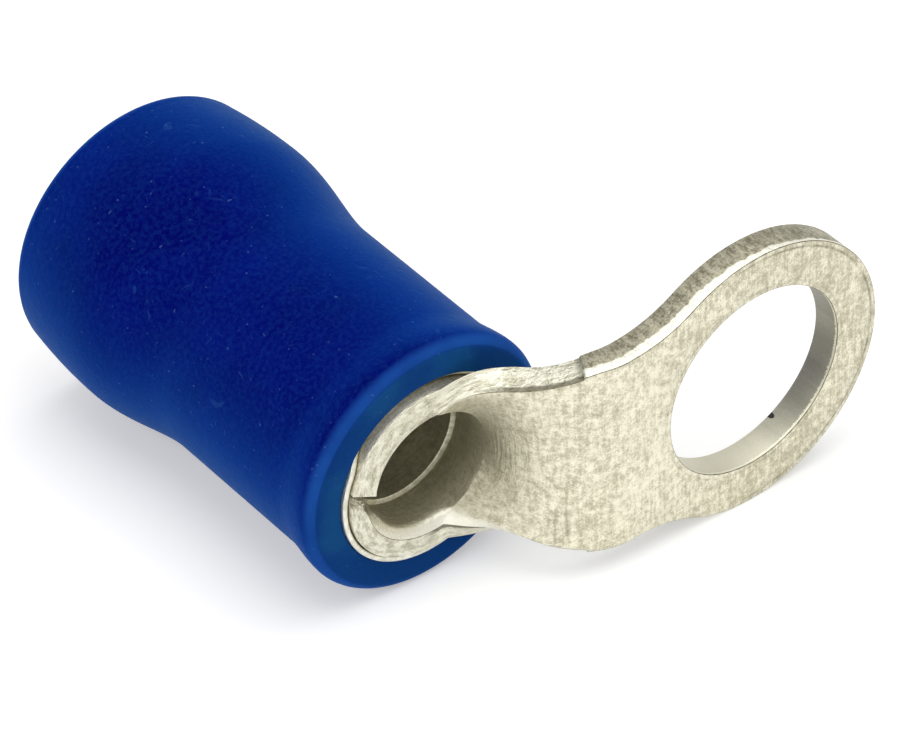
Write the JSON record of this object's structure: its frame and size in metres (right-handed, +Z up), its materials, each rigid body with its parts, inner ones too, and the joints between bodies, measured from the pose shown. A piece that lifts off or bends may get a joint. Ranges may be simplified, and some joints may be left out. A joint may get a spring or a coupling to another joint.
{
  "type": "ring terminal",
  "caption": "Insulated ring terminal with a right-angled tongue: a rolled sheet barrel for a stranded wire, a stud ring, and a flared insulating sleeve over the barrel.",
  "frame": {"origin": "on the surface it lies on, under the middle of its bounding box", "axes": "+Z up, +X along the tongue from the barrel to the ring, +Y back along the barrel towards the wire entry, both but for the few degrees that the part leans by as it rests"},
  "size_m": [0.0127, 0.012, 0.0063],
  "materials": {
    "tinned_copper": "matt tin plate with fine marks across it",
    "tinned_sleeve": "satin tin plate",
    "blue_vinyl": "satin moulded vinyl"
  },
  "bodies": {
    "root": {"terminal": "tinned_copper", "support_sleeve": "tinned_sleeve", "insulation_sleeve": "blue_vinyl"}
  },
  "joints": []
}
